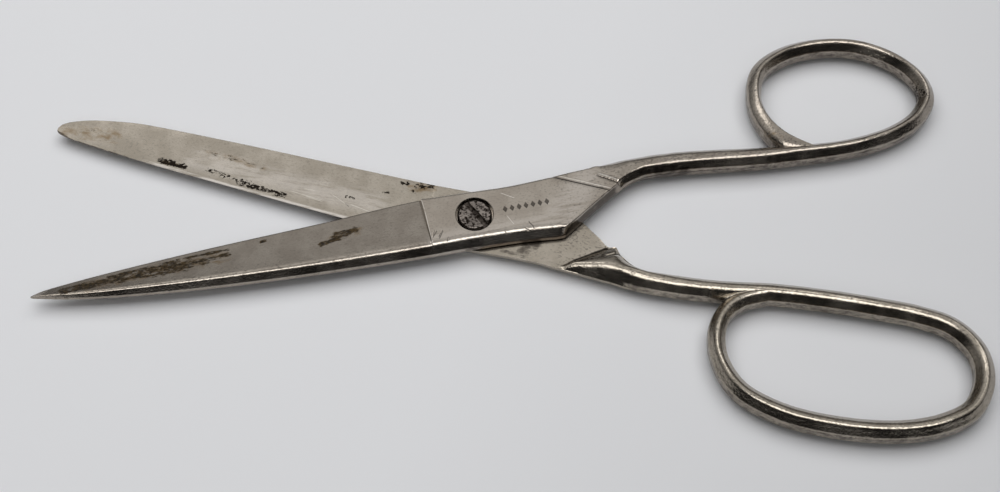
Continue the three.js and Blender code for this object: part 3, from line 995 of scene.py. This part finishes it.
def bare_metal(n, own, forged, plain, light, roughness):
    """Colour and roughness of the clean metal: cloudy, with a fine dark grain."""
    cloud = n.noise(own, 0.22, 3.0)
    grain = n.noise(own, 3.0, 2.0, (0.6, 1.0, 1.0))
    colour = n.mix(n.ramp(cloud, 0.35, 0.7), plain, light)
    dark_plain = tuple(0.4 * c for c in plain[:3]) + (1.0,)
    speckle = n.times(n.ramp(grain, 0.5, 0.72), n.ramp(forged, 0.0, 1.0, 0.3, 0.75))
    colour = n.mix(speckle, colour, dark_plain)
    rough = n.ramp(cloud, 0.3, 0.7, roughness - 0.03, roughness + 0.04)
    return colour, n.plus(rough, n.times(forged, 0.02))


def worn_colour(n, own, colour, pitted):
    """The colour with its rubbed, rusty, grimy, painted-shade, stained and pitted places; how dull;
    the pits.
    """

    def layer(name, weight, pattern, low, high):
        at = n.times(n.attribute(name).outputs["Fac"], weight)
        return n.ramp(n.plus(at, pattern), low, high)

    streaks = n.noise(own, 1.3, 4.0, (0.12, 1.0, 1.0), 0.6)
    blotch = n.noise(own, 0.9, 5.0, (0.5, 1.0, 1.0), 0.7)
    smear = n.noise(own, 1.5, 5.0, (0.4, 1.0, 1.0), 0.75)
    dots = n.noise(own, 2.4, 3.0, (0.7, 1.0, 1.0), 0.6)
    shine = n.times(n.attribute("bright").outputs["Fac"], n.ramp(streaks, 0.3, 0.55))
    rust = layer("rust", 0.55, blotch, 0.68, 1.05)
    # grime and painted shade, broken up by blotches
    grime_and_shade = layer("grime_and_shade", 0.6, blotch, 0.72, 1.05)
    stain = layer("stain", 0.5, smear, 0.77, 0.92)
    pits = layer("pits", 0.35, n.plus(dots, pitted), 0.77, 0.85)
    tone = n.mix(n.ramp(dots, 0.4, 0.6), STAIN, STAIN_DARK)
    colour = n.mix(shine, colour, RUBBED)
    colour = n.mix(n.times(rust, 0.8), colour, RUST)
    colour = n.mix(n.times(grime_and_shade, 0.85), colour, GRIME_AND_SHADE)
    colour = n.mix(n.times(stain, 0.94), colour, tone)
    return n.mix(pits, colour, DARK), n.strongest([stain, rust, pits]), pits


def tool_marks(n, own, colour, height, shaded_grooves, glints, scratches_and_shade_lines, punched):
    """Adds a half's grooves with painted shade, punch marks, scratches, painted shade lines and
    painted glints, on its two flat faces only.
    """
    faces = n.ramp(n.math("ABSOLUTE", n.minus(n.split(own)["Z"], 1.4)), 0.9, 1.2)
    groove_shade_and_punches = [n.line(own, *cut) for cut in shaded_grooves]
    if punched:
        groove_shade_and_punches.append(punch_row(n, own))
    groove_shade_and_punches = n.times(n.strongest(groove_shade_and_punches), faces)
    fine = n.times(n.strongest([n.line(own, *line) for line in scratches_and_shade_lines]), faces)
    painted_glint = n.times(n.strongest([n.line(own, *line) for line in glints]), faces)
    height = n.minus(height, n.times(groove_shade_and_punches, 1.5))
    height = n.minus(height, n.times(fine, 0.8))
    # painted shade in the grooves, and the dark punch marks
    colour = n.mix(n.times(groove_shade_and_punches, 0.75), colour, DARK)
    # dark scratches, and painted shade lines
    colour = n.mix(n.times(fine, 0.7), colour, DARK)
    # painted highlight lines
    return n.mix(n.times(painted_glint, 0.65), colour, GLINT), height


def worn_metal(
    name, plain, light, roughness, shaded_grooves=(), glints=(), scratches_and_shade_lines=(), punched=False, pitted=0.0,
):
    """Dull nickel or steel with fine grain, scratches, stains, rust, pits, grime, painted shade and
    glints.
    """
    n = Nodes(name)
    own = n.attribute("own").outputs["Vector"]
    forged = n.attribute("forged").outputs["Fac"]
    colour, rough = bare_metal(n, own, forged, plain, light, roughness)
    colour, dull, pits = worn_colour(n, own, colour, pitted)
    rough = n.plus(rough, n.times(dull, 0.25))
    ripple = n.times(n.noise(own, 2.2, 1.0, rough=0.4), n.ramp(forged, 0.0, 1.0, 0.14, 0.62))
    brushed = n.times(n.noise(own, 2.5, 1.0, (0.06, 1.0, 1.0)), 0.15)
    height = n.minus(n.plus(ripple, brushed), pits)
    if shaded_grooves:
        colour, height = tool_marks(n, own, colour, height, shaded_grooves, glints, scratches_and_shade_lines, punched)
    bump = n.tree.nodes.new("ShaderNodeBump")
    bump.inputs["Strength"].default_value = 0.8
    bump.inputs["Distance"].default_value = 0.06 * MM
    n.put(height, bump.inputs["Height"])
    n.put(bump.outputs[0], n.shader.inputs["Normal"])
    n.put(colour, n.shader.inputs["Base Color"])
    n.put(rough, n.shader.inputs["Roughness"])
    n.shader.inputs["Metallic"].default_value = 1.0
    return n.material


# --- Assembly ---

front = build_half("front_half_forged", POINTED_BODY, POINTED_RODS, POINTED_LEAN, lower=False)
back = build_half(
    "back_half_forged", ROUND_ENDED_BODY, ROUND_ENDED_RODS, ROUND_ENDED_LEAN, lower=True,
)
screw = build_screw()
paint(front.data, FRONT_MARKS, POINTED_BODY, lower=False)
paint(back.data, BACK_MARKS, ROUND_ENDED_BODY, lower=True)
paint_screw(screw.data)
placed(front, lower=False)
placed(back, lower=True)
screw.data.transform(Matrix.Translation(PIVOT) @ Matrix.Scale(MM, 4))

front_nickel = worn_metal(
    "worn_nickel_front", (0.305, 0.268, 0.228, 1.0), (0.365, 0.326, 0.28, 1.0), 0.2, punched=True,
    # painted shade in the grooves of the shoulder line and of the cut by the shank
    shaded_grooves=[((16.4, 5.4), (27.9, -0.4), 0.22), ((25.3, 4.0), (29.9, 1.15), 0.22)],
    # painted highlights: beside the shoulder line and the cut, along the bevel's end, on two
    # scratches
    glints=[
        ((16.7, 5.85), (28.1, 0.05), 0.15), ((25.7, 4.35), (30.0, 1.7), 0.16),
        ((-9.3, -6.0), (-9.4, 3.0), 0.1), ((-9.4, 3.0), (-9.65, 6.2), 0.08),
        ((5.9, 3.7), (8.5, 1.9), 0.12), ((6.1, -1.6), (7.1, -3.9), 0.1),
    ],
    scratches_and_shade_lines=[
        ((10.0, -3.7), (10.9, -5.6), 0.2), ((8.9, -4.8), (9.9, -5.8), 0.18),
        ((-8.4, -1.8), (-9.0, -3.6), 0.17), ((-7.9, -2.1), (-8.9, -3.3), 0.14),
        ((-6.7, -2.2), (-7.9, -4.1), 0.18), ((-7.3, -2.8), (-7.9, -3.6), 0.14),
        ((-6.0, -3.9), (-6.4, -4.8), 0.15), ((4.9, -4.6), (5.4, -5.6), 0.12),
        # painted shade: the dark side of the bevel's end
        ((-9.75, 1.5), (-10.1, 6.4), 0.22),
    ],
)
back_nickel = worn_metal(
    "worn_nickel_back", (0.34, 0.302, 0.25, 1.0), (0.41, 0.368, 0.31, 1.0), 0.2,
    # painted shade in the groove of the shoulder line and beside the nib
    shaded_grooves=[((20.0, 5.0), (27.3, -0.2), 0.3), ((26.8, 3.1), (29.6, 1.2), 0.3)],
    # painted highlights: beside the nib, and on light scratches across the blade
    glints=[
        ((26.9, 3.6), (29.4, 2.0), 0.25), ((-37.6, 0.6), (-30.4, 1.4), 0.12),
        ((-34.4, 1.1), (-30.6, 1.7), 0.1), ((-35.1, -0.5), (-32.7, -0.5), 0.12),
        ((-29.3, -0.4), (-25.5, 1.5), 0.09), ((-25.3, 1.1), (-20.7, 2.0), 0.12),
    ],
    scratches_and_shade_lines=[((-26.2, 1.1), (-25.2, 1.7), 0.1)],
)
steel = worn_metal(
    "screw_steel", (0.17, 0.148, 0.132, 1.0), (0.33, 0.292, 0.26, 1.0), 0.26, pitted=0.275,
)
for piece, node, body, slot, material in (
    (front, "front_half", UPPER_BODY, "nickel", front_nickel),
    (back, "back_half", LOWER_BODY, "nickel", back_nickel),
    (screw, "pivot_screw", LOWER_BODY, "screw_steel", steel),
):
    shade_smooth(piece.data)
    piece.data.materials.append(material)
    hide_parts(node)
    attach(piece, body)


# --- Floor, light and camera ---

def ramp_node(nodes, stops):
    """A colour ramp of greys from (position, value) pairs."""
    ramp = nodes.new("ShaderNodeValToRGB")
    elements = ramp.color_ramp.elements
    while len(elements) < len(stops):
        elements.new(0.5)
    for element, (position, value) in zip(elements, stops):
        element.position = position
        element.color = (value, value, value, 1.0)
    return ramp


def make_floor():
    """Plain pale paper, with painted shade making it a little darker towards the lower right."""
    bm = bmesh.new()
    bmesh.ops.create_grid(bm, x_segments=1, y_segments=1, size=3.0)
    mesh = bpy.data.meshes.new("paper")
    bm.to_mesh(mesh)
    bm.free()
    floor = linked("paper", mesh)
    material = bpy.data.materials.new("paper")
    material.use_nodes = True
    shader = material.node_tree.nodes["Principled BSDF"]
    nodes, links = material.node_tree.nodes, material.node_tree.links
    where = nodes.new("ShaderNodeTexCoord")
    slope = nodes.new("ShaderNodeVectorMath")
    slope.operation = "DOT_PRODUCT"
    slope.inputs[1].default_value = (0.9, -0.4, 0.0)
    # painted shade: the paper's colour falls off towards the lower right
    tone = ramp_node(nodes, [(0.0, 1.0), (0.45, 0.97), (1.0, 0.8)])
    spread = nodes.new("ShaderNodeMapRange")
    spread.inputs["From Min"].default_value = -0.1
    spread.inputs["From Max"].default_value = 0.12
    tint = nodes.new("ShaderNodeMixRGB")
    tint.inputs[1].default_value = (0.0, 0.0, 0.0, 1.0)
    tint.inputs[2].default_value = (0.86, 0.865, 0.885, 1.0)
    links.new(where.outputs["Object"], slope.inputs[0])
    links.new(slope.outputs["Value"], spread.inputs["Value"])
    links.new(spread.outputs[0], tone.inputs[0])
    links.new(tone.outputs[0], tint.inputs[0])
    links.new(tint.outputs[0], shader.inputs["Base Color"])
    shader.inputs["Roughness"].default_value = 0.9
    mesh.materials.append(material)


def area_light(name, azimuth, elevation, distance, size, power, glossy):
    """A softbox that faces the origin, and lights either only reflections or only dull surfaces."""
    data = bpy.data.lights.new(name, "AREA")
    data.shape = "RECTANGLE"
    data.size, data.size_y = size
    data.energy = power
    light = linked(name, data)
    a, e = math.radians(azimuth), math.radians(elevation)
    towards = Vector((math.sin(a) * math.cos(e), -math.cos(a) * math.cos(e), math.sin(e)))
    light.location = towards * distance
    light.rotation_euler = towards.to_track_quat("Z", "Y").to_euler()
    light.visible_glossy = glossy
    light.visible_diffuse = not glossy


# Two soft bright spots of the room: where they are, and how bright.
GLOWS = (((-0.45, 0.36, 0.82), 2.3), ((0.55, 0.485, 0.68), 1.8))


def glow(nodes, links, direction, toward, value):
    """A soft bright spot of the room's reflection around a direction."""
    dot = nodes.new("ShaderNodeVectorMath")
    dot.operation = "DOT_PRODUCT"
    dot.inputs[1].default_value = Vector(toward).normalized()
    links.new(direction, dot.inputs[0])
    spot = nodes.new("ShaderNodeMapRange")
    spot.interpolation_type = "SMOOTHSTEP"
    spot.inputs["From Min"].default_value = math.cos(math.radians(14))
    spot.inputs["From Max"].default_value = math.cos(math.radians(4))
    spot.inputs["To Max"].default_value = value
    links.new(dot.outputs["Value"], spot.inputs["Value"])
    return spot.outputs[0]


def make_world():
    """The room seen in the metal: dark behind the camera, a grey wall and ceiling beyond."""
    world = bpy.data.worlds.new("room")
    bpy.context.scene.world = world
    world.use_nodes = True
    world.cycles_visibility.diffuse = False
    nodes, links = world.node_tree.nodes, world.node_tree.links
    where = nodes.new("ShaderNodeTexCoord")
    split = nodes.new("ShaderNodeSeparateXYZ")
    near = ramp_node(nodes, [(0.0, 0.006), (0.58, 0.008), (0.7, 0.12), (0.8, 0.45), (1.0, 0.6)])
    far = ramp_node(nodes, [
        (0.0, 0.06), (0.2, 0.26), (0.35, 0.42), (0.62, 0.7), (0.87, 0.95), (1.0, 0.6),
    ])
    side = nodes.new("ShaderNodeMapRange")
    side.inputs["From Min"].default_value = -0.45
    side.inputs["From Max"].default_value = -0.12
    both = nodes.new("ShaderNodeMixRGB")
    links.new(where.outputs["Generated"], split.inputs[0])
    links.new(split.outputs["Z"], near.inputs[0])
    links.new(split.outputs["Z"], far.inputs[0])
    links.new(split.outputs["Y"], side.inputs["Value"])
    links.new(side.outputs[0], both.inputs[0])
    links.new(near.outputs[0], both.inputs[1])
    links.new(far.outputs[0], both.inputs[2])
    total = both.outputs[0]
    for toward, value in GLOWS:
        added = nodes.new("ShaderNodeVectorMath")
        added.operation = "ADD"
        links.new(total, added.inputs[0])
        links.new(glow(nodes, links, where.outputs["Generated"], toward, value), added.inputs[1])
        total = added.outputs[0]
    links.new(total, nodes["Background"].inputs[0])


CAMERA_ELEVATION = 61  # degrees above the floor, looking along +Y
CAMERA_FROM_PIVOT = (4.98, -176.62, 308.7)  # mm


def make_camera():
    data = bpy.data.cameras.new("camera")
    data.sensor_width = 36.0
    data.lens = 64.8
    data.clip_start = 0.01
    camera = linked("camera", data)
    camera.location = PIVOT + Vector(CAMERA_FROM_PIVOT) * MM
    camera.rotation_euler = (math.radians(90 - CAMERA_ELEVATION), 0.0, 0.0)
    bpy.context.scene.camera = camera


make_floor()
make_world()
area_light("strip", 5, 51, 0.8, (1.0, 0.3), 3.4, glossy=True)
area_light("softbox", 184, 73, 0.8, (1.2, 0.8), 6.6, glossy=False)
area_light("fill", 0, 60, 1.0, (1.6, 1.0), 2.0, glossy=False)
make_camera()
bpy.context.scene.view_settings.view_transform = "Standard"
